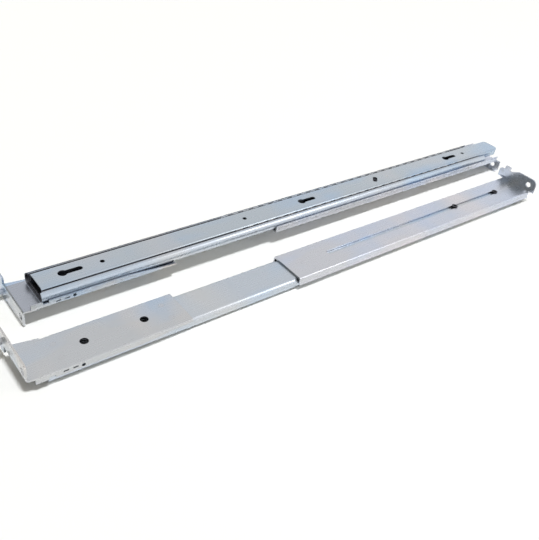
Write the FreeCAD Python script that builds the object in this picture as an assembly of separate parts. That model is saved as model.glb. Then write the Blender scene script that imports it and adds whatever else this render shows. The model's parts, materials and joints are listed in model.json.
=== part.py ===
"""Sliding rail pair for a rack-mounted server: two mirrored three-member ball slides.

Each rail is drawn once in its own rail frame and then laid on the floor:
  u runs along the rail from the face of the front rack flange to the rear,
  v points to the top of the rack, measured from the rail's centreline,
  w points outwards, away from the server, measured from the face that meets the server.
The right rail lies on its server side, so its w points up. The left rail is its mirror
image and stands on its two rack flanges, so its w points down.
"""
import FreeCAD, Part
import math
import os

# ---- rolled slide members: sheets, widths and depths -------------------------------
OUTER_SHEET = 1.5
OUTER_HALF_WIDTH = 21.4
OUTER_DEPTH = 13.5
OUTER_CORNER_RADIUS = 6.5
OUTER_MOUTH_HALF_WIDTH = 17.9
SERVER_FACE_STAND_OFF = 0.5
MID_SHEET = 1.3
MID_CORNER_RADIUS = 2.2
MID_EDGE_SETBACK = 1.1
INNER_SHEET = 1.2
INNER_CORNER_RADIUS = 2.6
INNER_WALL_DEPTH = 8.4

# ---- ball rows and cages -------------------------------------------------------------
OUTER_BALL_DIAMETER = 2.778
INNER_BALL_DIAMETER = 2.381
BALL_RUNNING_FIT = 0.05
BALL_SIDES = 8
BALL_LATITUDES = (-45, 0, 45)
RACE_DEPTH = 0.3
OUTER_BALL_LEVEL = 7.25
INNER_BALL_LEVEL = 5.6
CAGE_SHEET = 0.5
CAGE_GAP = 0.25
OUTER_CAGE_BEND = 3.7
INNER_CAGE_BEND = 2.0
OUTER_CAGE_RIM = 4.3
INNER_CAGE_RIM = 0.7
WINDOW_PLAY = 0.15
OUTER_WINDOW_PITCH = 35.0
INNER_WINDOW_PITCH = 45.0
CAGE_END_MARGIN = 8.0
RIM_NOTCH_PITCH = 15.0
RIM_NOTCH_LENGTH = 7.0
RIM_NOTCH_DEPTH = 2.6

# ---- lengths and places along the rail ------------------------------------------------
MOUNT_SPAN = 735.0
OUTER_START = 20.0
OUTER_LENGTH = 680.0
MID_START = 22.0
MID_LENGTH = 668.0
INNER_START = 23.0
INNER_LENGTH = 716.0
OUTER_CAGE_START = 195.0
OUTER_CAGE_LENGTH = 315.0
INNER_CAGE_LENGTH = 400.0
CATCH_TO_CAGE = 4.0

# ---- brackets -------------------------------------------------------------------------
BRACKET_SHEET = 1.8
BRACKET_BEND_RADIUS = 2.4
FRONT_BRACKET_LENGTH = 167.0
FRONT_SIDE_GAP = 0.2
FRONT_WALL_REACH = 5.0
FRONT_WALL_START = 8.0
FRONT_TAPER_LENGTH = 57.0
FRONT_TIP_REACH = 0.8
REAR_BRACKET_START = 303.5
REAR_SIDE_GAP = 0.4
REAR_LIFT = 0.3
REAR_WALL_REACH = 7.0
REAR_LIP_FLARE = 0.9
FRONT_GUSSET_LENGTH = 30.0
REAR_GUSSET_LENGTH = 6.0

# ---- rack flanges -----------------------------------------------------------------------
FLANGE_REACH = 19.0
FLANGE_CORNER_RADIUS = 4.0
FRONT_FLANGE_LOW = -22.0
FRONT_FLANGE_HIGH = 40.0
FRONT_EAR_START = 28.0
FRONT_EAR_DROP = 7.0
REAR_FLANGE_LOW = -28.0
REAR_FLANGE_HIGH = 34.0
REAR_HOOK_LOW = 17.0
REAR_HOOK_HIGH = 26.0
REAR_HOOK_RADIUS = 1.0
REAR_SHOULDER_REACH = 13.0
REAR_LOBE_START = 3.0
REAR_LOBE_RADIUS = 8.0
RACK_UNIT = 44.45
UPPER_PIN_OFFSET = 28.0
RACK_PIN_DIAMETER = 6.0
RACK_PIN_LENGTH = 7.0
RACK_PIN_TIP = 1.0
RACK_PIN_SHANK = 4.0
RACK_PIN_SETBACK = 9.0
POST_HOLE_DIAMETER = 7.5

# ---- holes ------------------------------------------------------------------------------
ACCESS_HOLE_DIAMETER = 8.5
ACCESS_HOLES = (63.5, 125.5)
SLOT_START = 363.5
SLOT_END = 682.75
SLOT_WIDTH = 6.5
DIMPLE_DIAMETER = 5.0
DIMPLE_DEPTH = 0.7
DIMPLES = ((21.0, 0.0), (27.0, -15.0))
KEYHOLES = (45.5, 354.7, 627.0)
KEYHOLE_ENTRY_DIAMETER = 9.5
KEYHOLE_SLOT_WIDTH = 6.0
KEYHOLE_LENGTH = 26.0
PILOT_HOLES = (93.0, 272.5, 670.0)
PILOT_HOLE_DIAMETER = 5.0
NOSE_ROUND = 8.0
WALL_NOTCH = (20.0, 26.0)
WALL_NOTCH_DEPTH = 2.5
WALL_HOLE = 52.0
WALL_HOLE_DIAMETER = 3.6
WALL_HOLE_SETBACK = 2.6
WALL_SLOTS = (33.0, 42.0)
WALL_SLOT_LENGTH = 5.0
WALL_SLOT_HEIGHT = 1.4

# ---- rivets, studs and stop ----------------------------------------------------------------
RIVET_DIAMETER = 6.0
RIVET_ROWS = (38.0, 150.0)
RIVET_OFFSET = 10.0
STUD_PLACES = (592.5, 679.5)
STUD_SHOULDER_DIAMETER = 5.6
STUD_HEAD_DIAMETER = 7.8
STUD_HEAD_THICKNESS = 0.9
STUD_HEAD_GAP = 0.3
STUD_SOCKET_WIDTH = 4.0
STUD_SOCKET_DEPTH = 1.2
STOP_LENGTH = 8.0
STOP_WIDTH = 20.0
STOP_GAP = 0.3
STOP_ROUND = 1.0

# ---- release lever and lock catch -----------------------------------------------------------
LEVER_SHEET = 1.2
LEVER_PIVOT = 510.0
LEVER_LENGTH = 70.0
LEVER_WIDTH = 9.0
LEVER_GAP = 0.3
LEVER_STUD = 487.6
LEVER_STUD_DIAMETER = 2.4
LEVER_STUD_RISE = 1.3
WINDOW_LENGTH = 13.0
WINDOW_WIDTH = 6.0
WINDOW_ANGLE = 45.0
PIVOT_DIAMETER = 3.0
PIVOT_PLAY = 0.15
PIVOT_HEAD_DIAMETER = 5.4
PIVOT_HEAD_THICKNESS = 0.8
CATCH_SHEET = 0.8
CATCH_PIVOT = 680.0
CATCH_LENGTH = 30.0
CATCH_WIDTH = 8.0
CATCH_TAIL_WIDTH = 5.0

# ---- how the two rails lie beside each other ------------------------------------------------
RAIL_SPACING = 82.0
LEFT_RAIL_LEAD = 30.0

# ---- levels and widths that follow from the sizes above --------------------------------------
OUTER_BACK = SERVER_FACE_STAND_OFF + OUTER_DEPTH
OUTER_WEB_FACE = OUTER_BACK - OUTER_SHEET
OUTER_RACE = OUTER_HALF_WIDTH - OUTER_SHEET
OUTER_BALL_LINE = OUTER_RACE - BALL_RUNNING_FIT - OUTER_BALL_DIAMETER / 2
MID_HALF_WIDTH = OUTER_BALL_LINE - OUTER_BALL_DIAMETER / 2 - BALL_RUNNING_FIT + RACE_DEPTH
MID_BACK = OUTER_WEB_FACE - CAGE_SHEET - 2 * CAGE_GAP
MID_WEB_FACE = MID_BACK - MID_SHEET
MID_RACE = MID_HALF_WIDTH - MID_SHEET
MID_EDGE = SERVER_FACE_STAND_OFF + MID_EDGE_SETBACK
INNER_BALL_LINE = MID_RACE + RACE_DEPTH - BALL_RUNNING_FIT - INNER_BALL_DIAMETER / 2
INNER_HALF_WIDTH = INNER_BALL_LINE - INNER_BALL_DIAMETER / 2 - BALL_RUNNING_FIT + RACE_DEPTH
BRACKET_FACE = OUTER_BACK + BRACKET_SHEET
FRONT_HALF_WIDTH = OUTER_HALF_WIDTH + FRONT_SIDE_GAP + BRACKET_SHEET
REAR_HALF_WIDTH = OUTER_HALF_WIDTH + REAR_SIDE_GAP + BRACKET_SHEET
REAR_PLATE_FACE = OUTER_BACK + REAR_LIFT
REAR_PLATE_BACK = REAR_PLATE_FACE + BRACKET_SHEET
FLANGE_END = OUTER_BACK + FLANGE_REACH
PIN_LEVEL = OUTER_BACK + RACK_PIN_SETBACK
POST_HOLE_OFFSET = UPPER_PIN_OFFSET - RACK_UNIT
OUTER_END = OUTER_START + OUTER_LENGTH
MID_END = MID_START + MID_LENGTH
INNER_END = INNER_START + INNER_LENGTH
CATCH_TIP = CATCH_PIVOT + CATCH_WIDTH / 2 - CATCH_LENGTH
INNER_CAGE_START = CATCH_TIP - CATCH_TO_CAGE - INNER_CAGE_LENGTH
REAR_FLANGE_FACE = MOUNT_SPAN - BRACKET_SHEET
PAST = 1.0

ALONG = FreeCAD.Vector(1, 0, 0)
ACROSS = FreeCAD.Vector(0, 1, 0)
OUTWARDS = FreeCAD.Vector(0, 0, 1)


# ---- drawing helpers ---------------------------------------------------------------------------
def rounded_face(corners, at_u=0.0):
    """Face in the v-w plane from corners (v, w, radius), with tangent arcs."""
    points = [FreeCAD.Vector(at_u, v, w) for v, w, _ in corners]
    edges = []
    first_start = None
    last_end = None
    for index, here in enumerate(points):
        to_last = (points[index - 1] - here).normalize()
        to_next = (points[(index + 1) % len(points)] - here).normalize()
        radius = corners[index][2]
        start = here
        end = here
        arc = None
        if radius > 0:
            half_angle = to_last.getAngle(to_next) / 2
            setback = radius / math.tan(half_angle)
            start = here + to_last * setback
            end = here + to_next * setback
            inwards = (to_last + to_next).normalize()
            middle = here + inwards * (radius / math.sin(half_angle) - radius)
            arc = Part.Arc(start, middle, end).toShape()
        if last_end is None:
            first_start = start
        else:
            edges.append(Part.LineSegment(last_end, start).toShape())
        if arc is not None:
            edges.append(arc)
        last_end = end
    edges.append(Part.LineSegment(last_end, first_start).toShape())
    return Part.Face(Part.Wire(edges))


def rolled(corners, start, length):
    """Strip rolled to a section of corners (v, w, radius), running along u."""
    return rounded_face(corners, start).extrude(ALONG * length)


def block(start, end, v_low, v_high, w_low, w_high):
    """Box between two places on each axis of the rail frame."""
    corner = FreeCAD.Vector(start, v_low, w_low)
    return Part.makeBox(end - start, v_high - v_low, w_high - w_low, corner)


def bar(u, v, diameter, w_low, w_high):
    """Round bar along w, for holes and shanks."""
    return Part.makeCylinder(diameter / 2, w_high - w_low, FreeCAD.Vector(u, v, w_low), OUTWARDS)


def round_slot(start, end, width, w_low, w_high):
    """Bar on the centreline with round ends that reaches from start to end."""
    radius = width / 2
    body = block(start + radius, end - radius, -radius, radius, w_low, w_high)
    first = bar(start + radius, 0, width, w_low, w_high)
    last = bar(end - radius, 0, width, w_low, w_high)
    return body.fuse([first, last]).removeSplitter()


def plan_plate(points, w_low, w_high):
    """Plate with a straight-sided outline of (u, v) points."""
    corners = [FreeCAD.Vector(u, v, w_low) for u, v in points]
    face = Part.Face(Part.makePolygon(corners + [corners[0]]))
    return face.extrude(OUTWARDS * (w_high - w_low))


def race_groove(ball_line, ball_level, ball_diameter, start, length):
    """Pair of round bars that leave the ball grooves of both sides in a member."""
    radius = ball_diameter / 2 + BALL_RUNNING_FIT
    grooves = []
    for side in (-1, 1):
        foot = FreeCAD.Vector(start - PAST, side * ball_line, ball_level)
        grooves.append(Part.makeCylinder(radius, length + 2 * PAST, foot, ALONG))
    return grooves


def channel_corners(half_width, edge, back, sheet, radius):
    """Section of a U channel: web at the level back, free edges at the level edge."""
    towards_edge = 1 if edge > back else -1
    inside = half_width - sheet
    web = back + towards_edge * sheet
    inner_radius = radius - sheet
    return [
        (half_width, edge, 0.0),
        (half_width, back, radius),
        (-half_width, back, radius),
        (-half_width, edge, 0.0),
        (-inside, edge, 0.0),
        (-inside, web, inner_radius),
        (inside, web, inner_radius),
        (inside, edge, 0.0),
    ]


# ---- slide members ---------------------------------------------------------------------------------
def outer_member():
    """Outer slide member: a C section whose round sides curl in over the balls."""
    low = SERVER_FACE_STAND_OFF
    skin = [
        (OUTER_HALF_WIDTH, low, OUTER_CORNER_RADIUS),
        (OUTER_HALF_WIDTH, OUTER_BACK, OUTER_CORNER_RADIUS),
        (-OUTER_HALF_WIDTH, OUTER_BACK, OUTER_CORNER_RADIUS),
        (-OUTER_HALF_WIDTH, low, OUTER_CORNER_RADIUS),
    ]
    inner_radius = OUTER_CORNER_RADIUS - OUTER_SHEET
    hollow = [
        (OUTER_RACE, low + OUTER_SHEET, inner_radius),
        (OUTER_RACE, OUTER_WEB_FACE, inner_radius),
        (-OUTER_RACE, OUTER_WEB_FACE, inner_radius),
        (-OUTER_RACE, low + OUTER_SHEET, inner_radius),
    ]
    cuts = [rolled(hollow, OUTER_START - PAST, OUTER_LENGTH + 2 * PAST)]
    cuts.append(block(OUTER_START - PAST, OUTER_END + PAST, -OUTER_MOUTH_HALF_WIDTH,
                      OUTER_MOUTH_HALF_WIDTH, low - PAST, OUTER_BALL_LEVEL))
    web = (OUTER_WEB_FACE - PAST, OUTER_BACK + PAST)
    for place in ACCESS_HOLES:
        cuts.append(bar(place, 0, ACCESS_HOLE_DIAMETER, *web))
    for place in STUD_PLACES:
        cuts.append(bar(place, 0, STUD_SHOULDER_DIAMETER, *web))
    for place, offset in rivet_places():
        cuts.append(bar(place, offset, RIVET_DIAMETER, *web))
    return rolled(skin, OUTER_START, OUTER_LENGTH).cut(cuts)


def intermediate_member():
    """Middle slide member, with a ball groove on both faces of its side walls."""
    section = channel_corners(MID_HALF_WIDTH, MID_EDGE, MID_BACK, MID_SHEET, MID_CORNER_RADIUS)
    cuts = race_groove(OUTER_BALL_LINE, OUTER_BALL_LEVEL, OUTER_BALL_DIAMETER,
                       MID_START, MID_LENGTH)
    cuts += race_groove(INNER_BALL_LINE, INNER_BALL_LEVEL, INNER_BALL_DIAMETER,
                        MID_START, MID_LENGTH)
    for place in ACCESS_HOLES:
        cuts.append(bar(place, 0, ACCESS_HOLE_DIAMETER, MID_WEB_FACE - PAST, MID_BACK + PAST))
    cuts.append(bar(CATCH_PIVOT, 0, PIVOT_DIAMETER, MID_WEB_FACE - PAST, MID_BACK + PAST))
    return rolled(section, MID_START, MID_LENGTH).cut(cuts)


def keyhole(start):
    """Entry hole and lock slot for a shoulder stud on the side of the server."""
    entry = bar(start + KEYHOLE_ENTRY_DIAMETER / 2, 0, KEYHOLE_ENTRY_DIAMETER,
                -PAST, INNER_SHEET + PAST)
    neck = round_slot(start + KEYHOLE_ENTRY_DIAMETER / 2 - KEYHOLE_SLOT_WIDTH / 2,
                      start + KEYHOLE_LENGTH, KEYHOLE_SLOT_WIDTH, -PAST, INNER_SHEET + PAST)
    return entry.fuse(neck).removeSplitter()


def nose_waste(side):
    """What one rounded corner of the nose takes off the end of the inner member."""
    start = INNER_END - NOSE_ROUND
    inside = INNER_HALF_WIDTH - NOSE_ROUND
    edge = INNER_HALF_WIDTH + PAST
    corner = block(start, INNER_END + PAST, min(side * inside, side * edge),
                   max(side * inside, side * edge), -PAST, INNER_WALL_DEPTH + PAST)
    return corner.cut(bar(start, side * inside, 2 * NOSE_ROUND, -2 * PAST,
                          INNER_WALL_DEPTH + 2 * PAST))


def inner_member():
    """Inner slide member that hangs on the server's studs, with a rounded rear nose."""
    section = channel_corners(INNER_HALF_WIDTH, INNER_WALL_DEPTH, 0.0, INNER_SHEET,
                              INNER_CORNER_RADIUS)
    cuts = race_groove(INNER_BALL_LINE, INNER_BALL_LEVEL, INNER_BALL_DIAMETER,
                       INNER_START, INNER_LENGTH)
    cuts += [nose_waste(side) for side in (-1, 1)]
    for start in KEYHOLES:
        cuts.append(keyhole(start))
    for place in PILOT_HOLES:
        cuts.append(bar(place, 0, PILOT_HOLE_DIAMETER, -PAST, INNER_SHEET + PAST))
    cuts.append(bar(LEVER_PIVOT, 0, PIVOT_DIAMETER, -PAST, INNER_SHEET + PAST))
    window = round_slot(LEVER_STUD - WINDOW_LENGTH / 2, LEVER_STUD + WINDOW_LENGTH / 2,
                        WINDOW_WIDTH, -PAST, INNER_SHEET + PAST)
    window.rotate(FreeCAD.Vector(LEVER_STUD, 0, 0), OUTWARDS, WINDOW_ANGLE)
    cuts.append(window)
    return rolled(section, INNER_START, INNER_LENGTH).cut(cuts)


# ---- ball cages ------------------------------------------------------------------------------------
def evenly(start, length, pitch):
    """Places at one pitch along a cage, evenly spaced about its middle."""
    steps = int((length - 2 * CAGE_END_MARGIN) // pitch)
    first = start + (length - steps * pitch) / 2
    return [first + index * pitch for index in range(steps + 1)]


def ball_places(start, length, pitch, ball_line, ball_level):
    """Centres of both rows of balls of one cage."""
    centres = []
    for place in evenly(start, length, pitch):
        for side in (-1, 1):
            centres.append(FreeCAD.Vector(place, side * ball_line, ball_level))
    return centres


def cage_strip(start, length, ball_line, rim, back, bend):
    """Thin channel that carries one set of balls in its two side walls."""
    half_width = ball_line + CAGE_SHEET / 2
    return rolled(channel_corners(half_width, rim, back, CAGE_SHEET, bend), start, length)


def ball_windows(centres, diameter):
    """Square windows through the cage walls, one round each ball."""
    reach = diameter / 2 + WINDOW_PLAY
    windows = []
    for centre in centres:
        windows.append(block(centre.x - reach, centre.x + reach, centre.y - reach,
                             centre.y + reach, centre.z - reach, centre.z + reach))
    return windows


def outer_ball_centres():
    """Balls between the outer and the intermediate member."""
    return ball_places(OUTER_CAGE_START, OUTER_CAGE_LENGTH, OUTER_WINDOW_PITCH,
                       OUTER_BALL_LINE, OUTER_BALL_LEVEL)


def inner_ball_centres():
    """Balls between the intermediate and the inner member."""
    return ball_places(INNER_CAGE_START, INNER_CAGE_LENGTH, INNER_WINDOW_PITCH,
                       INNER_BALL_LINE, INNER_BALL_LEVEL)


def outer_ball_cage():
    """Cage between the outer and the intermediate member."""
    strip = cage_strip(OUTER_CAGE_START, OUTER_CAGE_LENGTH, OUTER_BALL_LINE,
                       OUTER_CAGE_RIM, OUTER_WEB_FACE - CAGE_GAP, OUTER_CAGE_BEND)
    return strip.cut(ball_windows(outer_ball_centres(), OUTER_BALL_DIAMETER))


def inner_ball_cage():
    """Cage between the intermediate and the inner member, with a notched rim."""
    strip = cage_strip(INNER_CAGE_START, INNER_CAGE_LENGTH, INNER_BALL_LINE,
                       INNER_CAGE_RIM, MID_WEB_FACE - CAGE_GAP, INNER_CAGE_BEND)
    cuts = ball_windows(inner_ball_centres(), INNER_BALL_DIAMETER)
    half_width = INNER_BALL_LINE + CAGE_SHEET
    for place in evenly(INNER_CAGE_START, INNER_CAGE_LENGTH, RIM_NOTCH_PITCH):
        cuts.append(block(place - RIM_NOTCH_LENGTH / 2, place + RIM_NOTCH_LENGTH / 2,
                          -half_width, half_width,
                          INNER_CAGE_RIM - PAST, INNER_CAGE_RIM + RIM_NOTCH_DEPTH))
    return strip.cut(cuts)


def ball_ring(centre, radius, latitude):
    """Corners of one ring of a ball whose poles point across the rail."""
    level = math.radians(latitude)
    ring = []
    for index in range(BALL_SIDES):
        turn = 2 * math.pi * index / BALL_SIDES
        spoke = FreeCAD.Vector(math.cos(level) * math.cos(turn), math.sin(level),
                               math.cos(level) * math.sin(turn))
        ring.append(centre + spoke * radius)
    return ring


def ball(centre, diameter):
    """Ball of flat faces; its two poles run on the races."""
    radius = diameter / 2
    rings = [ball_ring(centre, radius, latitude) for latitude in BALL_LATITUDES]
    faces = []
    for low, high in zip(rings, rings[1:]):
        for index in range(BALL_SIDES):
            beside = (index + 1) % BALL_SIDES
            corners = [low[index], low[beside], high[beside], high[index], low[index]]
            faces.append(Part.Face(Part.makePolygon(corners)))
    for ring, side in ((rings[0], -1), (rings[-1], 1)):
        pole = centre + ACROSS * (side * radius)
        for index in range(BALL_SIDES):
            beside = (index + 1) % BALL_SIDES
            corners = [pole, ring[index], ring[beside], pole]
            faces.append(Part.Face(Part.makePolygon(corners)))
    solid = Part.makeSolid(Part.makeShell(faces))
    if solid.Volume < 0:
        solid.reverse()
    return solid


def balls(centres, diameter):
    """Separate steel balls, one at each centre."""
    return Part.makeCompound([ball(centre, diameter) for centre in centres])


def outer_balls():
    """Both rows of the larger balls."""
    return balls(outer_ball_centres(), OUTER_BALL_DIAMETER)


def inner_balls():
    """Both rows of the smaller balls."""
    return balls(inner_ball_centres(), INNER_BALL_DIAMETER)


# ---- brackets ----------------------------------------------------------------------------------------
def fold_waste(edge_u, towards, plate_face, v_low, v_high):
    """What the outside radius of the fold takes off the corner of plate and flange."""
    radius = BRACKET_BEND_RADIUS
    low_u = min(edge_u, edge_u + towards * radius)
    corner = block(low_u, low_u + radius, v_low - PAST, v_high + PAST,
                   plate_face, plate_face + radius)
    foot = FreeCAD.Vector(edge_u + towards * radius, v_low - 2 * PAST, plate_face + radius)
    return corner.cut(Part.makeCylinder(radius, v_high - v_low + 4 * PAST, foot, ACROSS))


def front_flange():
    """Front rack flange with a drop-down ear at its upper end."""
    round_off = FLANGE_CORNER_RADIUS
    corners = [
        (FRONT_FLANGE_LOW, OUTER_BACK, 0.0),
        (FRONT_EAR_START, OUTER_BACK, 0.0),
        (FRONT_EAR_START, OUTER_BACK - FRONT_EAR_DROP, round_off / 2),
        (FRONT_FLANGE_HIGH, OUTER_BACK - FRONT_EAR_DROP, round_off),
        (FRONT_FLANGE_HIGH, FLANGE_END, round_off),
        (FRONT_FLANGE_LOW, FLANGE_END, round_off),
    ]
    return rolled(corners, 0.0, BRACKET_SHEET)


def wall_openings():
    """Notch, tooling hole and lance slots in the lower side wall of the front bracket."""
    wall = -FRONT_HALF_WIDTH
    edge = OUTER_BACK - FRONT_WALL_REACH
    openings = [block(WALL_NOTCH[0], WALL_NOTCH[1], wall - PAST, wall + BRACKET_SHEET,
                      edge - PAST, edge + WALL_NOTCH_DEPTH)]
    level = edge + WALL_HOLE_SETBACK
    foot = FreeCAD.Vector(WALL_HOLE, wall - PAST, level)
    openings.append(Part.makeCylinder(WALL_HOLE_DIAMETER / 2, BRACKET_SHEET + PAST, foot, ACROSS))
    for place in WALL_SLOTS:
        openings.append(block(place, place + WALL_SLOT_LENGTH, wall - PAST,
                              wall + BRACKET_SHEET, level, level + WALL_SLOT_HEIGHT))
    return openings


def front_bracket():
    """Front bracket: a channel round the outer member, with a flange turned outwards."""
    edge = OUTER_BACK - FRONT_WALL_REACH
    half = FRONT_HALF_WIDTH
    section = channel_corners(half, edge, BRACKET_FACE, BRACKET_SHEET, BRACKET_BEND_RADIUS)
    channel = rolled(section, FRONT_WALL_START, FRONT_BRACKET_LENGTH - FRONT_WALL_START)
    upper_wall = block(FRONT_WALL_START - PAST, FRONT_GUSSET_LENGTH, 0, half + PAST,
                       edge - PAST, OUTER_BACK)
    taper = [
        FreeCAD.Vector(FRONT_BRACKET_LENGTH - FRONT_TAPER_LENGTH, -half - PAST, edge),
        FreeCAD.Vector(FRONT_BRACKET_LENGTH, -half - PAST, edge),
        FreeCAD.Vector(FRONT_BRACKET_LENGTH, -half - PAST, OUTER_BACK - FRONT_TIP_REACH),
    ]
    taper_waste = Part.Face(Part.makePolygon(taper + [taper[0]]))
    taper_waste = taper_waste.extrude(ACROSS * (2 * half + 2 * PAST))
    gusset = plan_plate([(0, FRONT_FLANGE_LOW), (FRONT_WALL_START, -half),
                         (FRONT_GUSSET_LENGTH, -half + BRACKET_BEND_RADIUS),
                         (FRONT_GUSSET_LENGTH, half), (0, FRONT_EAR_START)],
                        OUTER_BACK, BRACKET_FACE)
    bracket = channel.cut([upper_wall, taper_waste]).fuse([gusset, front_flange()])
    cuts = wall_openings()
    cuts.append(fold_waste(0.0, 1, OUTER_BACK, FRONT_FLANGE_LOW, FRONT_EAR_START - PAST))
    for place in ACCESS_HOLES:
        cuts.append(bar(place, 0, ACCESS_HOLE_DIAMETER, OUTER_BACK - PAST, BRACKET_FACE + PAST))
    for place, offset in rivet_places():
        cuts.append(rivet(place, offset))
    cuts.append(flange_bar(0.0, BRACKET_SHEET, UPPER_PIN_OFFSET, RACK_PIN_SHANK))
    cuts.append(flange_bar(-PAST, BRACKET_SHEET + PAST, POST_HOLE_OFFSET, POST_HOLE_DIAMETER))
    return bracket.cut(cuts).removeSplitter()


def rear_section():
    """Channel section of the rear bracket, with its free edges flared outwards."""
    half = REAR_HALF_WIDTH
    inside = half - BRACKET_SHEET
    edge = OUTER_BACK - REAR_WALL_REACH
    knee = edge + 2 * REAR_LIP_FLARE
    bend = BRACKET_BEND_RADIUS
    right = [
        (inside + REAR_LIP_FLARE, edge, 0.0),
        (half + REAR_LIP_FLARE, edge, 0.0),
        (half, knee, 0.0),
        (half, REAR_PLATE_BACK, bend),
    ]
    left = [(-v, w, radius) for v, w, radius in reversed(right)]
    hollow = [
        (-inside, knee, 0.0),
        (-inside, REAR_PLATE_FACE, bend - BRACKET_SHEET),
        (inside, REAR_PLATE_FACE, bend - BRACKET_SHEET),
        (inside, knee, 0.0),
    ]
    return right + left + hollow


def rear_flange():
    """Rear rack flange: a round lobe at its lower end, a hook and a low upper shoulder."""
    shoulder = OUTER_BACK + REAR_SHOULDER_REACH
    corners = [
        (REAR_FLANGE_LOW, REAR_PLATE_FACE, 0.0),
        (REAR_FLANGE_HIGH, REAR_PLATE_FACE, 0.0),
        (REAR_FLANGE_HIGH, shoulder, FLANGE_CORNER_RADIUS),
        (REAR_HOOK_HIGH, shoulder, 0.0),
        (REAR_HOOK_HIGH, FLANGE_END, REAR_HOOK_RADIUS),
        (REAR_HOOK_LOW, FLANGE_END, REAR_HOOK_RADIUS),
        (REAR_HOOK_LOW, shoulder, REAR_HOOK_RADIUS),
        (REAR_LOBE_START, FLANGE_END, REAR_LOBE_RADIUS),
        (REAR_FLANGE_LOW, FLANGE_END, REAR_LOBE_RADIUS),
    ]
    return rolled(corners, REAR_FLANGE_FACE, BRACKET_SHEET)


def dimple(place, offset):
    """Ball whose cap presses a shallow dimple into the rear plate."""
    radius = (DIMPLE_DIAMETER ** 2 / 4 + DIMPLE_DEPTH ** 2) / (2 * DIMPLE_DEPTH)
    centre = FreeCAD.Vector(REAR_BRACKET_START + place, offset,
                            REAR_PLATE_BACK - DIMPLE_DEPTH + radius)
    return Part.makeSphere(radius, centre)


def rear_bracket():
    """Rear bracket: a channel that slides on the outer member and ends in a rack flange."""
    walls_end = MOUNT_SPAN - REAR_GUSSET_LENGTH
    channel = rolled(rear_section(), REAR_BRACKET_START, walls_end - REAR_BRACKET_START)
    half = REAR_HALF_WIDTH
    gusset = plan_plate([(walls_end, -half + BRACKET_BEND_RADIUS),
                         (walls_end, half - BRACKET_BEND_RADIUS),
                         (MOUNT_SPAN, REAR_FLANGE_HIGH), (MOUNT_SPAN, REAR_FLANGE_LOW)],
                        REAR_PLATE_FACE, REAR_PLATE_BACK)
    bracket = channel.fuse([gusset, rear_flange()])
    cuts = [fold_waste(MOUNT_SPAN, -1, REAR_PLATE_FACE, REAR_FLANGE_LOW, REAR_FLANGE_HIGH)]
    cuts.append(round_slot(SLOT_START, SLOT_END, SLOT_WIDTH,
                           REAR_PLATE_FACE - PAST, REAR_PLATE_BACK + PAST))
    cuts.append(flange_bar(REAR_FLANGE_FACE - PAST, MOUNT_SPAN + PAST, POST_HOLE_OFFSET,
                           POST_HOLE_DIAMETER))
    cuts.append(flange_bar(REAR_FLANGE_FACE, MOUNT_SPAN, UPPER_PIN_OFFSET, RACK_PIN_SHANK))
    for place, offset in DIMPLES:
        cuts.append(dimple(place, offset))
    return bracket.cut(cuts).removeSplitter()


# ---- fasteners ---------------------------------------------------------------------------------------
def flange_bar(start, end, offset, diameter):
    """Round bar along the rail at the level of the rack holes."""
    foot = FreeCAD.Vector(start, offset, PIN_LEVEL)
    return Part.makeCylinder(diameter / 2, end - start, foot, ALONG)


def rack_pin(face, inside, offset):
    """Locating pin with a tapered tip, riveted through a flange from face to inside."""
    away = 1 if face > inside else -1
    shank = flange_bar(min(face, inside), max(face, inside), offset, RACK_PIN_SHANK)
    tip_start = face + away * (RACK_PIN_LENGTH - RACK_PIN_TIP)
    body = flange_bar(min(face, tip_start), max(face, tip_start), offset, RACK_PIN_DIAMETER)
    tip = Part.makeCone(RACK_PIN_DIAMETER / 2, RACK_PIN_DIAMETER / 2 - RACK_PIN_TIP, RACK_PIN_TIP,
                        FreeCAD.Vector(tip_start, offset, PIN_LEVEL), ALONG * away)
    return shank.fuse([body, tip]).removeSplitter()


def front_rack_pins():
    """Pin that enters the front post's upper hole."""
    return rack_pin(0.0, BRACKET_SHEET, UPPER_PIN_OFFSET)


def rear_rack_pin():
    """Pin that enters the rear post's upper hole."""
    return rack_pin(MOUNT_SPAN, REAR_FLANGE_FACE, UPPER_PIN_OFFSET)


def rivet_places():
    """Places (u, v) of the rivets that hold the front bracket to the outer member."""
    return [(place, side * RIVET_OFFSET) for place in RIVET_ROWS for side in (-1, 1)]


def rivet(place, offset):
    """Rivet through the outer member and the bracket, flush on both faces."""
    return bar(place, offset, RIVET_DIAMETER, OUTER_WEB_FACE, BRACKET_FACE)


def bracket_rivets():
    """The four flush rivets of the front bracket."""
    return Part.makeCompound([rivet(place, offset) for place, offset in rivet_places()])


def slot_studs():
    """Socket-head studs on the outer member that hold and guide the rear bracket."""
    studs = []
    head_low = REAR_PLATE_BACK + STUD_HEAD_GAP
    head_high = head_low + STUD_HEAD_THICKNESS
    for place in STUD_PLACES:
        shoulder = bar(place, 0, STUD_SHOULDER_DIAMETER, OUTER_WEB_FACE, head_low)
        head = bar(place, 0, STUD_HEAD_DIAMETER, head_low, head_high)
        centre = FreeCAD.Vector(place, 0, head_high - STUD_SOCKET_DEPTH)
        corners = []
        for index in range(6):
            angle = math.radians(60 * index)
            spoke = FreeCAD.Vector(math.cos(angle), math.sin(angle), 0)
            corners.append(centre + spoke * (STUD_SOCKET_WIDTH / math.sqrt(3)))
        socket = Part.Face(Part.makePolygon(corners + [corners[0]]))
        socket = socket.extrude(OUTWARDS * (STUD_SOCKET_DEPTH + PAST))
        studs.append(shoulder.fuse(head).removeSplitter().cut(socket))
    return Part.makeCompound(studs)


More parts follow.
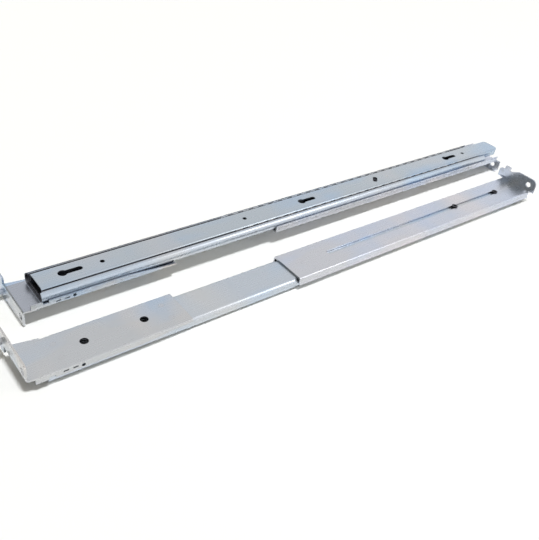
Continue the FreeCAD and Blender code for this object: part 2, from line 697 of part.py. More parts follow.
def rear_bumper():
    """Rubber stop on the outer member's web, behind the intermediate member."""
    start = MID_END + STOP_GAP
    pad = block(start, start + STOP_LENGTH, -STOP_WIDTH / 2, STOP_WIDTH / 2,
                INNER_WALL_DEPTH + STOP_GAP, OUTER_WEB_FACE)
    upright = [edge for edge in pad.Edges if abs(edge.tangentAt(edge.FirstParameter).z) > 0.9]
    return pad.makeFillet(STOP_ROUND, upright)


# ---- release lever and lock catch ------------------------------------------------------------------------
def release_lever():
    """Flat lever under the inner web, worked by a stud in the slanted window."""
    low = INNER_SHEET + LEVER_GAP
    end = LEVER_PIVOT + LEVER_WIDTH / 2
    blade = round_slot(end - LEVER_LENGTH, end, LEVER_WIDTH, low, low + LEVER_SHEET)
    stud = bar(LEVER_STUD, 0, LEVER_STUD_DIAMETER, low - LEVER_STUD_RISE, low)
    bore = bar(LEVER_PIVOT, 0, PIVOT_DIAMETER + 2 * PIVOT_PLAY,
               low - PAST, low + LEVER_SHEET + PAST)
    return blade.fuse(stud).cut(bore).removeSplitter()


def lever_rivet():
    """Shoulder rivet of the release lever, flush with the face that meets the server."""
    shoulder = INNER_SHEET + LEVER_SHEET + 2 * LEVER_GAP
    shank = bar(LEVER_PIVOT, 0, PIVOT_DIAMETER, 0, shoulder)
    head = bar(LEVER_PIVOT, 0, PIVOT_HEAD_DIAMETER, shoulder, shoulder + PIVOT_HEAD_THICKNESS)
    return shank.fuse(head).removeSplitter()


def lock_catch():
    """Flat catch on the intermediate web that holds the extended inner member."""
    high = MID_WEB_FACE - LEVER_GAP
    low = high - CATCH_SHEET
    tail = CATCH_TAIL_WIDTH / 2
    blade = plan_plate([(CATCH_TIP, -tail), (CATCH_PIVOT, -CATCH_WIDTH / 2),
                        (CATCH_PIVOT, CATCH_WIDTH / 2), (CATCH_TIP, tail)], low, high)
    eye = bar(CATCH_PIVOT, 0, CATCH_WIDTH, low, high)
    bore = bar(CATCH_PIVOT, 0, PIVOT_DIAMETER + 2 * PIVOT_PLAY, low - PAST, high + PAST)
    return blade.fuse(eye).cut(bore).removeSplitter()


def catch_rivet():
    """Shoulder rivet of the lock catch, flush with the back of the intermediate web."""
    low = MID_WEB_FACE - CATCH_SHEET - 2 * LEVER_GAP
    shank = bar(CATCH_PIVOT, 0, PIVOT_DIAMETER, low, MID_BACK)
    head = bar(CATCH_PIVOT, 0, PIVOT_HEAD_DIAMETER, low - PIVOT_HEAD_THICKNESS, low)
    return shank.fuse(head).removeSplitter()


# ---- the pair ------------------------------------------------------------------------------------------
MAKERS = {
    "outer_member": outer_member,
    "front_bracket": front_bracket,
    "bracket_rivets": bracket_rivets,
    "front_rack_pins": front_rack_pins,
    "slot_studs": slot_studs,
    "rear_bumper": rear_bumper,
    "rear_bracket": rear_bracket,
    "rear_rack_pin": rear_rack_pin,
    "intermediate_member": intermediate_member,
    "lock_catch": lock_catch,
    "catch_rivet": catch_rivet,
    "outer_ball_cage": outer_ball_cage,
    "outer_balls": outer_balls,
    "inner_ball_cage": inner_ball_cage,
    "inner_balls": inner_balls,
    "inner_member": inner_member,
    "release_lever": release_lever,
    "lever_rivet": lever_rivet,
}


def lay_left(shape):
    """Left rail: the mirror image, standing on its flanges with the server side up."""
    laid = shape.mirror(FreeCAD.Vector(0, 0, 0), OUTWARDS)
    laid.translate(FreeCAD.Vector(LEFT_RAIL_LEAD, RAIL_SPACING, FLANGE_END))
    return laid


def build():
    """Every sub-part of both rails, by node name, about the middle of the pair's base."""
    shapes = {}
    for name, maker in MAKERS.items():
        shape = maker()
        shapes["left_" + name] = lay_left(shape)
        shapes["right_" + name] = shape
    whole = FreeCAD.BoundBox()
    for shape in shapes.values():
        whole.add(shape.BoundBox)
    middle = FreeCAD.Vector(whole.Center.x, whole.Center.y, whole.ZMin)
    for shape in shapes.values():
        shape.translate(middle * -1)
    return shapes


def main():
    """Write one STEP file per sub-part."""
    os.makedirs("parts", exist_ok=True)
    for name, shape in build().items():
        shape.exportStep("parts/" + name + ".step")


main()
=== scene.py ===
"""Dresses the sliding server rail pair: zinc-plated slides, brackets and their small parts."""

import json
import logging
import math
from dataclasses import dataclass
from enum import Enum

import bmesh
import bpy
from mathutils import Euler, Matrix, Vector


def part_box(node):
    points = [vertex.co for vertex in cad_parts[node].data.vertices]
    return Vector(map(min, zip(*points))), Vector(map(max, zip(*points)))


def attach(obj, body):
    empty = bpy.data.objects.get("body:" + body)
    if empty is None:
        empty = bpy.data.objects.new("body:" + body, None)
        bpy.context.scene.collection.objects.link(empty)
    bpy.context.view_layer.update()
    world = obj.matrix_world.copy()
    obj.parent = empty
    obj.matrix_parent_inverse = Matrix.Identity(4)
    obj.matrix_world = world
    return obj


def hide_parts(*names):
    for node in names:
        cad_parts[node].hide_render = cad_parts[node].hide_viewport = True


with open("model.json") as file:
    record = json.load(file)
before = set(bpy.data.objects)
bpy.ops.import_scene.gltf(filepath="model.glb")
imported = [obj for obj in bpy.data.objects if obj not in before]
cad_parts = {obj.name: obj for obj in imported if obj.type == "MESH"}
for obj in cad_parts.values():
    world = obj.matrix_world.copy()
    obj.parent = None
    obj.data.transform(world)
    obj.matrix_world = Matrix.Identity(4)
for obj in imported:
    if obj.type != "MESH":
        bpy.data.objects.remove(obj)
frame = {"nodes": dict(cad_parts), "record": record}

LOG = logging.getLogger("rail_pair")
Triple = tuple[float, float, float]
Colour = Triple

WHITE: Colour = (1.0, 1.0, 1.0)


class Side(Enum):
    """The two rails of the pair."""

    LEFT = "left"
    RIGHT = "right"


# ---- shader nodes --------------------------------------------------------------------
def new_group(name: str, inputs: dict[str, tuple[str, object]],
              outputs: dict[str, str]) -> bpy.types.NodeTree:
    """Makes an empty shader group with named sockets.

    Args:
        name: The group's name.
        inputs: Socket kind and default value (or None) by input name.
        outputs: Socket kind by output name.

    Returns:
        The group, with its input and output nodes in place.
    """
    group = bpy.data.node_groups.new(name, "ShaderNodeTree")
    for label, (kind, value) in inputs.items():
        socket = group.interface.new_socket(name=label, in_out="INPUT", socket_type=kind)
        if value is not None:
            socket.default_value = value
    for label, kind in outputs.items():
        group.interface.new_socket(name=label, in_out="OUTPUT", socket_type=kind)
    group.nodes.new("NodeGroupInput")
    group.nodes.new("NodeGroupOutput")
    return group


def ends(group: bpy.types.NodeTree) -> tuple[bpy.types.Node, bpy.types.Node]:
    """Returns a group's input and output nodes."""
    return group.nodes["Group Input"], group.nodes["Group Output"]


@dataclass(frozen=True)
class Pattern:
    """A noise pattern and the two noise values between which its mask rises.

    The stretch is in cycles per metre along X, Y and Z, and the detail in octaves.
    """

    stretch: Triple
    detail: float
    low: float
    high: float


def noise(tree: bpy.types.NodeTree, vector: bpy.types.NodeSocket,
          pattern: Pattern) -> bpy.types.NodeSocket:
    """Adds noise stretched along the axes.

    Args:
        tree: The node tree to add to.
        vector: Where the coordinates come from.
        pattern: Its stretch and detail.

    Returns:
        The noise value, between 0 and 1.
    """
    mapping = tree.nodes.new("ShaderNodeMapping")
    mapping.inputs["Scale"].default_value = pattern.stretch
    tree.links.new(vector, mapping.inputs["Vector"])
    texture = tree.nodes.new("ShaderNodeTexNoise")
    texture.inputs["Scale"].default_value = 1.0
    texture.inputs["Detail"].default_value = pattern.detail
    tree.links.new(mapping.outputs["Vector"], texture.inputs["Vector"])
    return texture.outputs["Fac"]


def spread(tree: bpy.types.NodeTree, value: bpy.types.NodeSocket, low: float, high: float,
           to_low: float = 0.0, to_high: float = 1.0) -> bpy.types.NodeSocket:
    """Maps a value from low..high to another range, clamped.

    Args:
        tree: The node tree to add to.
        value: The value to map.
        low: Value that becomes to_low.
        high: Value that becomes to_high.
        to_low: Result at low.
        to_high: Result at high.

    Returns:
        The mapped value.
    """
    ramp = tree.nodes.new("ShaderNodeMapRange")
    for label, number in (("From Min", low), ("From Max", high),
                          ("To Min", to_low), ("To Max", to_high)):
        ramp.inputs[label].default_value = number
    tree.links.new(value, ramp.inputs["Value"])
    return ramp.outputs["Result"]


def mask_of(tree: bpy.types.NodeTree, value: bpy.types.NodeSocket,
            pattern: Pattern) -> bpy.types.NodeSocket:
    """Returns the mask that a pattern makes of its noise value."""
    return spread(tree, value, pattern.low, pattern.high)


def combine(tree: bpy.types.NodeTree, operation: str, first: bpy.types.NodeSocket,
            second: bpy.types.NodeSocket) -> bpy.types.NodeSocket:
    """Joins two values by a Math node's operation.

    Args:
        tree: The node tree to add to.
        operation: The Math node's operation.
        first: The first value.
        second: The second value.

    Returns:
        The result of the operation.
    """
    node = tree.nodes.new("ShaderNodeMath")
    node.operation = operation
    tree.links.new(first, node.inputs[0])
    tree.links.new(second, node.inputs[1])
    return node.outputs["Value"]


def distance(tree: bpy.types.NodeTree, first: bpy.types.NodeSocket,
             second: bpy.types.NodeSocket) -> bpy.types.NodeSocket:
    """Returns how far two values lie apart."""
    return combine(tree, "MAXIMUM", combine(tree, "SUBTRACT", first, second),
                   combine(tree, "SUBTRACT", second, first))


def constant_colour(tree: bpy.types.NodeTree, colour: Colour) -> bpy.types.NodeSocket:
    """Returns a colour as a socket."""
    node = tree.nodes.new("ShaderNodeRGB")
    node.outputs["Color"].default_value = (*colour, 1.0)
    return node.outputs["Color"]


def blend_colours(tree: bpy.types.NodeTree, factor: bpy.types.NodeSocket,
                  first: bpy.types.NodeSocket,
                  second: bpy.types.NodeSocket) -> bpy.types.NodeSocket:
    """Mixes two colours.

    Args:
        tree: The node tree to add to.
        factor: 0 for the first colour, 1 for the second.
        first: The first colour.
        second: The second colour.

    Returns:
        The mixed colour.
    """
    mix = tree.nodes.new("ShaderNodeMix")
    mix.data_type = "RGBA"
    tree.links.new(factor, mix.inputs["Factor"])
    tree.links.new(first, mix.inputs["A"])
    tree.links.new(second, mix.inputs["B"])
    return mix.outputs["Result"]


def seen_directly(tree: bpy.types.NodeTree) -> bpy.types.NodeSocket:
    """Returns 1 for rays from the camera, from a mirror or through glass, otherwise 0."""
    paths = tree.nodes.new("ShaderNodeLightPath")
    total = paths.outputs["Is Camera Ray"]
    for label in ("Is Glossy Ray", "Is Transmission Ray"):
        total = combine(tree, "MAXIMUM", total, paths.outputs[label])
    return total


# ---- shared shader groups ------------------------------------------------------------
COOL_CLOUDS = Pattern((9.0, 22.0, 22.0), detail=2.0, low=0.45, high=0.72)
WARM_CLOUDS = Pattern((14.0, 5.0, 31.0), detail=2.0, low=0.50, high=0.75)
ROLLING_LINES = Pattern((12.0, 1600.0, 1600.0), detail=3.0, low=0.3, high=0.7)
SMUDGE_PATCHES = Pattern((60.0, 90.0, 90.0), detail=5.0, low=0.48, high=0.68)


def plating_bloom() -> bpy.types.NodeTree:
    """Soft cool and warm clouds of passivated zinc over a base colour."""
    white = ("NodeSocketColor", (*WHITE, 1.0))
    group = new_group(
        "plating_bloom",
        {"Vector": ("NodeSocketVector", None), "Base": white, "Cool": white, "Warm": white},
        {"Color": "NodeSocketColor"})
    start, end = ends(group)
    vector = start.outputs["Vector"]
    cool = mask_of(group, noise(group, vector, COOL_CLOUDS), COOL_CLOUDS)
    warm = mask_of(group, noise(group, vector, WARM_CLOUDS), WARM_CLOUDS)
    colour = blend_colours(group, cool, start.outputs["Base"], start.outputs["Cool"])
    colour = blend_colours(group, warm, colour, start.outputs["Warm"])
    group.links.new(colour, end.inputs["Color"])
    return group


def rolling_grain() -> bpy.types.NodeTree:
    """Fine lines along the rolling direction, as a height and a roughness mask."""
    group = new_group("rolling_grain", {"Vector": ("NodeSocketVector", None)},
                      {"Height": "NodeSocketFloat", "Mask": "NodeSocketFloat"})
    start, end = ends(group)
    lines = noise(group, start.outputs["Vector"], ROLLING_LINES)
    group.links.new(lines, end.inputs["Height"])
    group.links.new(mask_of(group, lines, ROLLING_LINES), end.inputs["Mask"])
    return group


def handling_smudge() -> bpy.types.NodeTree:
    """Dull patches that handling and thin oil leave on plated steel."""
    group = new_group("handling_smudge", {"Vector": ("NodeSocketVector", None)},
                      {"Mask": "NodeSocketFloat"})
    start, end = ends(group)
    patches = noise(group, start.outputs["Vector"], SMUDGE_PATCHES)
    group.links.new(mask_of(group, patches, SMUDGE_PATCHES), end.inputs["Mask"])
    return group


def hollow_mask() -> bpy.types.NodeTree:
    """Mask of the inside of a channel that runs along X, where painted shade is laid.

    Middle and Reach bound the inside across the rail, Level and Depth bound it in height,
    and Corner bounds the sum of both distances, which follows the rounded folds.
    """
    bounds = ("Middle", "Reach", "Level", "Depth", "Corner")
    inputs = {"Vector": ("NodeSocketVector", None)}
    inputs |= {label: ("NodeSocketFloat", 0.0) for label in bounds}
    group = new_group("hollow_mask", inputs, {"Mask": "NodeSocketFloat"})
    start, end = ends(group)
    place = group.nodes.new("ShaderNodeSeparateXYZ")
    group.links.new(start.outputs["Vector"], place.inputs["Vector"])
    across = distance(group, place.outputs["Y"], start.outputs["Middle"])
    height = distance(group, place.outputs["Z"], start.outputs["Level"])
    both = combine(group, "ADD", across, height)
    mask = combine(group, "LESS_THAN", across, start.outputs["Reach"])
    for measure, label in ((height, "Depth"), (both, "Corner")):
        within = combine(group, "LESS_THAN", measure, start.outputs[label])
        mask = combine(group, "MULTIPLY", mask, within)
    group.links.new(mask, end.inputs["Mask"])
    return group


@dataclass
class ShaderKit:
    """The shader groups that several finishes share."""

    bloom: bpy.types.NodeTree
    grain: bpy.types.NodeTree
    smudge: bpy.types.NodeTree
    hollow: bpy.types.NodeTree

    @classmethod
    def build(cls) -> "ShaderKit":
        """Builds every shared group once."""
        return cls(plating_bloom(), rolling_grain(), handling_smudge(), hollow_mask())


def shader(name: str) -> tuple[bpy.types.Material, bpy.types.Node, bpy.types.NodeSocket]:
    """Starts a material.

    Args:
        name: The material's name.

    Returns:
        The material, its Principled node and its object coordinates.
    """
    material = bpy.data.materials.new(name)
    material.use_nodes = True
    tree = material.node_tree
    principled = tree.nodes["Principled BSDF"]
    coordinates = tree.nodes.new("ShaderNodeTexCoord").outputs["Object"]
    return material, principled, coordinates


def place_group(tree: bpy.types.NodeTree, group: bpy.types.NodeTree,
                vector: bpy.types.NodeSocket) -> bpy.types.Node:
    """Places a shared group in a material and gives it its coordinates."""
    node = tree.nodes.new("ShaderNodeGroup")
    node.node_tree = group
    tree.links.new(vector, node.inputs["Vector"])
    return node


def place_bloom(tree: bpy.types.NodeTree, kit: ShaderKit, vector: bpy.types.NodeSocket,
                base: Colour, cool: Colour, warm: Colour) -> bpy.types.NodeSocket:
    """Places the clouds in a material with a finish's three colours.

    Args:
        tree: The material's node tree.
        kit: The shared shader groups.
        vector: Where the coordinates come from.
        base: The colour between the clouds.
        cool: The colour of the cool clouds.
        warm: The colour of the warm clouds.

    Returns:
        The clouded colour.
    """
    bloom = place_group(tree, kit.bloom, vector)
    for label, colour in (("Base", base), ("Cool", cool), ("Warm", warm)):
        bloom.inputs[label].default_value = (*colour, 1.0)
    return bloom.outputs["Color"]


# ---- finishes ------------------------------------------------------------------------
@dataclass(frozen=True)
class PaintedInsideShade:
    """Painted shade on the inside of one channel, with its material's name and its bounds."""

    name: str
    colour: Colour
    limits: dict[str, float]


@dataclass(frozen=True)
class ZincFinish:
    """Bright zinc plate on rolled steel."""

    name: str
    base: Colour
    cool: Colour
    warm: Colour
    smooth: float = 0.24
    dull: float = 0.38
    grain_share: float = 0.35
    smudge_share: float = 0.65
    grain_height: float = 0.00002
    grain_strength: float = 0.25
    edge_radius: float = 0.0003
    edge_samples: int = 4

    def build(self, kit: ShaderKit, inside_shade: PaintedInsideShade | None = None) -> bpy.types.Material:
        """Builds the material.

        Args:
            kit: The shared shader groups.
            inside_shade: The painted shade inside the part's channel, if it has one.

        Returns:
            The finished material.
        """
        material, principled, vector = shader(inside_shade.name if inside_shade else self.name)
        tree = material.node_tree
        principled.inputs["Metallic"].default_value = 1.0
        colour = place_bloom(tree, kit, vector, self.base, self.cool, self.warm)
        # Painted shade: the mask's colour is laid over the inside of the channel and stands in
        # for the shade in its hollow.
        if inside_shade:
            inside = place_group(tree, kit.hollow, vector)
            for label, value in inside_shade.limits.items():
                inside.inputs[label].default_value = value
            colour = blend_colours(tree, inside.outputs["Mask"], colour,
                                   constant_colour(tree, inside_shade.colour))
        tree.links.new(colour, principled.inputs["Base Color"])
        grain = place_group(tree, kit.grain, vector)
        smudge = place_group(tree, kit.smudge, vector)
        wear = combine(
            tree, "ADD",
            spread(tree, grain.outputs["Mask"], 0.0, 1.0, 0.0, self.grain_share),
            spread(tree, smudge.outputs["Mask"], 0.0, 1.0, 0.0, self.smudge_share))
        tree.links.new(spread(tree, wear, 0.0, 1.0, self.smooth, self.dull),
                       principled.inputs["Roughness"])
        bump = tree.nodes.new("ShaderNodeBump")
        bump.inputs["Distance"].default_value = self.grain_height
        bump.inputs["Strength"].default_value = self.grain_strength
        tree.links.new(grain.outputs["Height"], bump.inputs["Height"])
        edges = tree.nodes.new("ShaderNodeBevel")
        edges.samples = self.edge_samples
        edges.inputs["Radius"].default_value = self.edge_radius
        tree.links.new(edges.outputs["Normal"], bump.inputs["Normal"])
        tree.links.new(bump.outputs["Normal"], principled.inputs["Normal"])
        return material


@dataclass(frozen=True)
class PlainFinish:
    """A finish without plating: polished balls, black oxide or rubber."""

    name: str
    base: Colour
    worn: Colour
    metallic: float
    smooth: float
    dull: float

    def build(self, kit: ShaderKit) -> bpy.types.Material:
        """Builds the material, with worn clouds and dull patches."""
        material, principled, vector = shader(self.name)
        tree = material.node_tree
        principled.inputs["Metallic"].default_value = self.metallic
        colour = place_bloom(tree, kit, vector, self.base, self.base, self.worn)
        tree.links.new(colour, principled.inputs["Base Color"])
        smudge = place_group(tree, kit.smudge, vector)
        tree.links.new(spread(tree, smudge.outputs["Mask"], 0.0, 1.0, self.smooth, self.dull),
                       principled.inputs["Roughness"])
        return material


ZINC_SLIDE = ZincFinish(
    "zinc_slide", (0.54, 0.585, 0.645), (0.47, 0.58, 0.71), (0.60, 0.61, 0.62))
ZINC_INNER = ZincFinish(
    "zinc_inner", (0.48, 0.53, 0.58), (0.41, 0.52, 0.66), (0.54, 0.55, 0.57))
ZINC_BRACKET = ZincFinish(
    "zinc_bracket", (0.55, 0.565, 0.585), (0.45, 0.56, 0.71), (0.64, 0.61, 0.59))
ZINC_REAR = ZincFinish(
    "zinc_rear", (0.60, 0.61, 0.65), (0.55, 0.61, 0.74), (0.67, 0.65, 0.68))
CAGE_STEEL = ZincFinish(
    "cage_steel", (0.82, 0.83, 0.85), (0.78, 0.82, 0.88), (0.85, 0.84, 0.82))
RIVET_STEEL = ZincFinish(
    "rivet_steel", (0.55, 0.56, 0.58), (0.50, 0.56, 0.66), (0.60, 0.59, 0.58))
BALL_STEEL = PlainFinish(
    "ball_steel", (0.80, 0.81, 0.83), (0.74, 0.75, 0.77),
    metallic=1.0, smooth=0.05, dull=0.12)
BLACK_STEEL = PlainFinish(
    "black_steel", (0.025, 0.025, 0.035), (0.07, 0.07, 0.08),
    metallic=0.6, smooth=0.35, dull=0.5)
BUMPER_RUBBER = PlainFinish(
    "bumper_rubber", (0.025, 0.025, 0.026), (0.05, 0.05, 0.05),
    metallic=0.0, smooth=0.6, dull=0.8)

# The finishes that nodes and pieces take as they are, by their names.
SHARED_FINISHES = (
    ZINC_SLIDE, ZINC_BRACKET, ZINC_REAR, CAGE_STEEL, RIVET_STEEL, BALL_STEEL, BLACK_STEEL,
    BUMPER_RUBBER)

# Painted shade: a dark colour laid over the insides of the slide members' channels, where the
# hollows are in shade.
PAINTED_SHADE_INSIDE: Colour = (0.24, 0.24, 0.265)
# Painted shade: a darker grey-blue laid over the inside of the front bracket's channel, where
# it is in shade.
PAINTED_SHADE_BRACKET: Colour = (0.41, 0.435, 0.49)


# ---- mesh helpers --------------------------------------------------------------------
SHARP_ANGLE = math.radians(35)
MERGE_DISTANCE = 1e-6


def finish_piece(name: str, mesh: bmesh.types.BMesh, material: bpy.types.Material,
                 body: str) -> bpy.types.Object:
    """Turns a bmesh into a piece that rides on a body.

    Args:
        name: The piece's name.
        mesh: The shape, in metres in the shared frame; it is freed.
        material: Its finish.
        body: The body it rides on.

    Returns:
        The new object.
    """
    bmesh.ops.recalc_face_normals(mesh, faces=mesh.faces[:])
    data = bpy.data.meshes.new(name)
    mesh.to_mesh(data)
    mesh.free()
    data.materials.append(material)
    data.polygons.foreach_set("use_smooth", [True] * len(data.polygons))
    data.set_sharp_from_angle(angle=SHARP_ANGLE)
    piece = bpy.data.objects.new(name, data)
    bpy.context.scene.collection.objects.link(piece)
    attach(piece, body)
    return piece


def islands(node: str) -> list[tuple[Vector, Vector]]:
    """Finds the separate solids of a CAD node.

    Args:
        node: The node's name.

    Returns:
        Lowest and highest corner of each solid.
    """
    copy = bmesh.new()
    copy.from_mesh(frame["nodes"][node].data)
    bmesh.ops.remove_doubles(copy, verts=copy.verts[:], dist=MERGE_DISTANCE)
    left = set(copy.verts)
    found = []
    while left:
        grown = [left.pop()]
        members = []
        while grown:
            vertex = grown.pop()
            members.append(vertex.co)
            for edge in vertex.link_edges:
                other = edge.other_vert(vertex)
                if other in left:
                    left.remove(other)
                    grown.append(other)
        low = Vector([min(co[axis] for co in members) for axis in range(3)])
        high = Vector([max(co[axis] for co in members) for axis in range(3)])
        found.append((low, high))
    copy.free()
    return sorted(found, key=lambda box: tuple(box[0]))


def dress(name: str, material: bpy.types.Material) -> None:
    """Puts a material in the slots of a carried-over node."""
    for slot in frame["nodes"][name].material_slots:
        slot.material = material


# ---- channels ------------------------------------------------------------------------
@dataclass(frozen=True)
class Channel:
    """A folded channel whose inside carries painted shade.

    Sizes are in metres. The half width is measured from the rail's middle, the half height
    from the level, and the level from the face that the server is fixed to.
    """

    finish: ZincFinish
    inside_shade: Colour
    half_width: float
    half_height: float
    level: float
    sheet: float
    fold_radius: float

    def limits(self, middle: float, level: float) -> dict[str, float]:
        """Bounds the inside by a line that runs in the middle of the sheet.

        Args:
            middle: The rail's middle in the shared frame.
            level: The channel's level in the shared frame.

        Returns:
            The bounds by the hollow mask's input names.
        """
        fold_centre = self.half_width + self.half_height - 2 * self.fold_radius
        fold_line = (self.fold_radius - self.sheet / 2) * math.sqrt(2)
        return {"Middle": middle, "Reach": self.half_width - self.sheet / 2,
                "Level": level, "Depth": self.half_height - self.sheet / 2,
                "Corner": fold_centre + fold_line}


# The second colour of each channel is painted shade for its inside.
CHANNELS = {
    "outer_member": Channel(
        ZINC_SLIDE, PAINTED_SHADE_INSIDE, half_width=0.0214, half_height=0.00675, level=0.00725,
        sheet=0.0015, fold_radius=0.0065),
    "intermediate_member": Channel(
        ZINC_SLIDE, PAINTED_SHADE_INSIDE, half_width=0.01732, half_height=0.0065, level=0.0050,
        sheet=0.0013, fold_radius=0.0022),
    "inner_member": Channel(
        ZINC_INNER, PAINTED_SHADE_INSIDE, half_width=0.01414, half_height=0.0050, level=0.0050,
        sheet=0.0012, fold_radius=0.0026),
    "front_bracket": Channel(
        ZINC_BRACKET, PAINTED_SHADE_BRACKET, half_width=0.0234, half_height=0.0088, level=0.0070,
        sheet=0.0018, fold_radius=0.0024),
}


# ---- rails ---------------------------------------------------------------------------
@dataclass
class Rail:
    """One rail: its carried-over members and the balls modelled here."""

    side: Side
    kit: ShaderKit
    materials: dict[str, bpy.types.Material]
    ball_rings: int = 10
    ball_segments: int = 14

    def node(self, part: str) -> str:
        """Returns the node or body name of a part of this rail."""
        return f"{self.side.value}_{part}"

    def build_balls(self, row: str) -> None:
        """Replaces one cage's balls with smooth spheres.

        Args:
            row: outer or inner.
        """
        name = self.node(f"{row}_balls")
        mesh = bmesh.new()
        for low, high in islands(name):
            centre = (low + high) / 2
            radius = max(high - low) / 2
            bmesh.ops.create_uvsphere(mesh, u_segments=self.ball_segments,
                                      v_segments=self.ball_rings, radius=radius,
                                      matrix=Matrix.Translation(centre))
        piece = finish_piece(f"{name}_smooth", mesh, self.materials["ball_steel"],
                             self.node(f"{row}_cage"))
        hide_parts(name)
        LOG.info("%s built", piece.name)

    def height_of(self, level: float) -> float:
        """Returns the height in the shared frame of a level behind the server face."""
        low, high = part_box(self.node("inner_member"))
        return low.z + level if self.side is Side.RIGHT else high.z - level

    def dress_channels(self) -> None:
        """Gives every channel its finish, with painted shade on its inside."""
        middle = sum(corner.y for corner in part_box(self.node("outer_member"))) / 2
        for part, channel in CHANNELS.items():
            name = self.node(part)
            limits = channel.limits(middle, self.height_of(channel.level))
            inside_shade = PaintedInsideShade(f"{name}_zinc", channel.inside_shade, limits)
            dress(name, channel.finish.build(self.kit, inside_shade))
            LOG.info("%s dressed", name)

    def build(self) -> None:
        """Builds the rail's balls and dresses its channels, rear bracket and lever."""
        for row in ("outer", "inner"):
            self.build_balls(row)
        self.dress_channels()
        dress(self.node("rear_bracket"), self.materials["zinc_rear"])
        dress(self.node("release_lever"), self.materials["black_steel"])


# ---- the stage -----------------------------------------------------------------------
def add_background(tree: bpy.types.NodeTree, colour: Colour,
                   strength: float = 1.0) -> bpy.types.Node:
    """Adds a plain background light to a world."""
    node = tree.nodes.new("ShaderNodeBackground")
    node.inputs["Color"].default_value = (*colour, 1.0)
    node.inputs["Strength"].default_value = strength
    return node


def mix_backgrounds(tree: bpy.types.NodeTree, factor: bpy.types.NodeSocket,
                    first: bpy.types.NodeSocket,
                    second: bpy.types.NodeSocket) -> bpy.types.NodeSocket:
    """Mixes two background lights.

    Args:
        tree: The world's node tree.
        factor: 0 for the first light, 1 for the second.
        first: The first light.
        second: The second light.

    Returns:
        The mixed light.
    """
    mix = tree.nodes.new("ShaderNodeMixShader")
    tree.links.new(factor, mix.inputs["Fac"])
    tree.links.new(first, mix.inputs[1])
    tree.links.new(second, mix.inputs[2])
    return mix.outputs["Shader"]


def turned_from(place: Triple) -> Euler:
    """Returns the turn of a lamp that stands at a place and shines at the rails."""
    return Vector(place).to_track_quat("Z", "Y").to_euler()


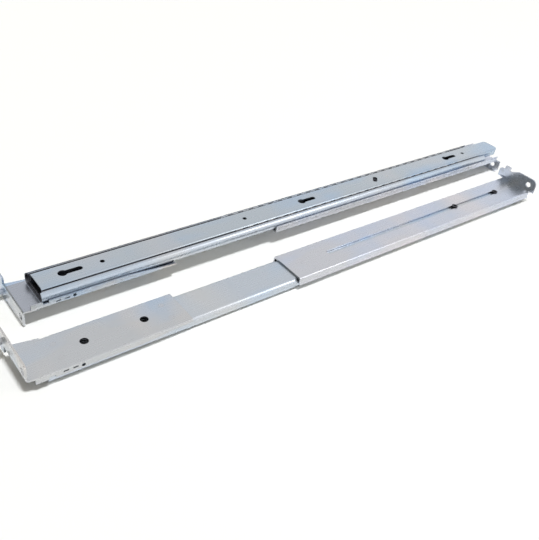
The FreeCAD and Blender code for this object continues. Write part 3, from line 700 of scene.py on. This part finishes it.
@dataclass
class Studio:
    """White table, soft light and the camera."""

    floor_size: float = 14.0
    floor_colour: Colour = (0.93, 0.93, 0.91)
    floor_roughness: float = 0.9
    floor_specular: float = 0.1
    floor_lift: float = 0.04
    ambient: float = 0.27
    ambient_tint: Colour = (1.0, 0.955, 0.82)
    overhead_strength: float = 2.5
    overhead_tint: Colour = (0.985, 1.0, 1.03)
    overhead_from: Triple = (0.06, -0.26, 1.0)
    overhead_angle: float = math.radians(9)
    fold_light_place: Triple = (1.0, -1.05, 1.1)
    fold_light_size: float = 0.5
    fold_light_power: float = 2.8
    curtain: Colour = (0.35, 0.35, 0.30)
    curtain_full: float = -0.6
    curtain_edge: float = -0.1
    wall_top: float = 0.36
    wall_strength: float = 1.12
    ceiling_edge: float = 0.44
    ceiling_strength: float = 0.89
    lens: float = 46.13
    clip_start: float = 0.01
    camera_place: Triple = (-0.514, -0.492, 0.4608)
    right: Triple = (0.7875, -0.6045, 0.1220)
    forward: Triple = (0.5477, 0.5950, -0.5879)

    def build_camera(self) -> None:
        """Places the camera from its forward and right directions."""
        forward = Vector(self.forward).normalized()
        right = Vector(self.right)
        right = (right - forward * right.dot(forward)).normalized()
        up = right.cross(forward)
        data = bpy.data.cameras.new("view")
        data.lens = self.lens
        data.clip_start = self.clip_start
        camera = bpy.data.objects.new("view", data)
        turn = Matrix((right, up, -forward)).transposed()
        camera.matrix_world = Matrix.Translation(self.camera_place) @ turn.to_4x4()
        bpy.context.scene.collection.objects.link(camera)
        bpy.context.scene.camera = camera

    def build_floor(self) -> None:
        """Lays the white table, which keeps the rails' shadows."""
        mesh = bmesh.new()
        bmesh.ops.create_grid(mesh, x_segments=1, y_segments=1, size=self.floor_size / 2)
        data = bpy.data.meshes.new("table")
        mesh.to_mesh(data)
        mesh.free()
        table = bpy.data.objects.new("table", data)
        bpy.context.scene.collection.objects.link(table)
        material = bpy.data.materials.new("table_white")
        material.use_nodes = True
        tree = material.node_tree
        principled = tree.nodes["Principled BSDF"]
        principled.inputs["Base Color"].default_value = (*self.floor_colour, 1.0)
        principled.inputs["Roughness"].default_value = self.floor_roughness
        principled.inputs["Specular IOR Level"].default_value = self.floor_specular
        principled.inputs["Emission Color"].default_value = (*WHITE, 1.0)
        tree.links.new(spread(tree, seen_directly(tree), 0.0, 1.0, 0.0, self.floor_lift),
                       principled.inputs["Emission Strength"])
        data.materials.append(material)

    def build_world(self) -> None:
        """Even light, graded walls and ceiling in mirrors, and a white backdrop."""
        world = bpy.data.worlds.new("studio")
        bpy.context.scene.world = world
        world.use_nodes = True
        tree = world.node_tree
        tree.nodes.clear()
        even = add_background(tree, self.ambient_tint, self.ambient)
        mirrored = add_background(tree, WHITE)
        backdrop = add_background(tree, WHITE)
        direction = tree.nodes.new("ShaderNodeSeparateXYZ")
        coordinates = tree.nodes.new("ShaderNodeTexCoord")
        tree.links.new(coordinates.outputs["Generated"], direction.inputs["Vector"])
        clear = spread(tree, direction.outputs["X"], self.curtain_full, self.curtain_edge)
        walls = blend_colours(tree, clear, constant_colour(tree, self.curtain),
                              constant_colour(tree, WHITE))
        tree.links.new(walls, mirrored.inputs["Color"])
        strength = spread(tree, direction.outputs["Z"], self.wall_top, self.ceiling_edge,
                          self.wall_strength, self.ceiling_strength)
        tree.links.new(strength, mirrored.inputs["Strength"])
        room = mix_backgrounds(tree, seen_directly(tree), even.outputs["Background"],
                               mirrored.outputs["Background"])
        paths = tree.nodes.new("ShaderNodeLightPath")
        shown = mix_backgrounds(tree, paths.outputs["Is Camera Ray"], room,
                                backdrop.outputs["Background"])
        output = tree.nodes.new("ShaderNodeOutputWorld")
        tree.links.new(shown, output.inputs["Surface"])

    def build_overhead(self) -> None:
        """Hangs the far overhead lamp that puts each rail's shadow right below it."""
        data = bpy.data.lights.new("overhead", "SUN")
        data.energy = self.overhead_strength
        data.color = self.overhead_tint
        data.angle = self.overhead_angle
        lamp = bpy.data.objects.new("overhead", data)
        lamp.visible_glossy = False
        lamp.rotation_euler = turned_from(self.overhead_from)
        bpy.context.scene.collection.objects.link(lamp)

    def build_fold_light(self) -> None:
        """Hangs the soft lamp that lights the upper folds on the near side."""
        data = bpy.data.lights.new("fold_light", "AREA")
        data.size = self.fold_light_size
        data.energy = self.fold_light_power
        lamp = bpy.data.objects.new("fold_light", data)
        lamp.location = self.fold_light_place
        lamp.rotation_euler = turned_from(self.fold_light_place)
        bpy.context.scene.collection.objects.link(lamp)

    def build(self) -> None:
        """Sets the whole stage."""
        self.build_camera()
        self.build_floor()
        self.build_world()
        self.build_overhead()
        self.build_fold_light()
        bpy.context.scene.view_settings.view_transform = "Standard"


# ---- the build -----------------------------------------------------------------------
def dress_nodes(materials: dict[str, bpy.types.Material]) -> None:
    """Gives every carried-over node the finish of its material slot.

    Args:
        materials: The finishes by slot name.
    """
    for row in frame["record"]["subparts"]:
        dress(row["node"], materials[row["material_slot"]])


def main() -> None:
    """Builds the dressed rail pair on its stage."""
    logging.basicConfig(level=logging.INFO)
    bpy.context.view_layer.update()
    kit = ShaderKit.build()
    materials = {finish.name: finish.build(kit) for finish in SHARED_FINISHES}
    dress_nodes(materials)
    for side in Side:
        Rail(side, kit, materials).build()
    Studio().build()


if __name__ == "__main__":
    main()
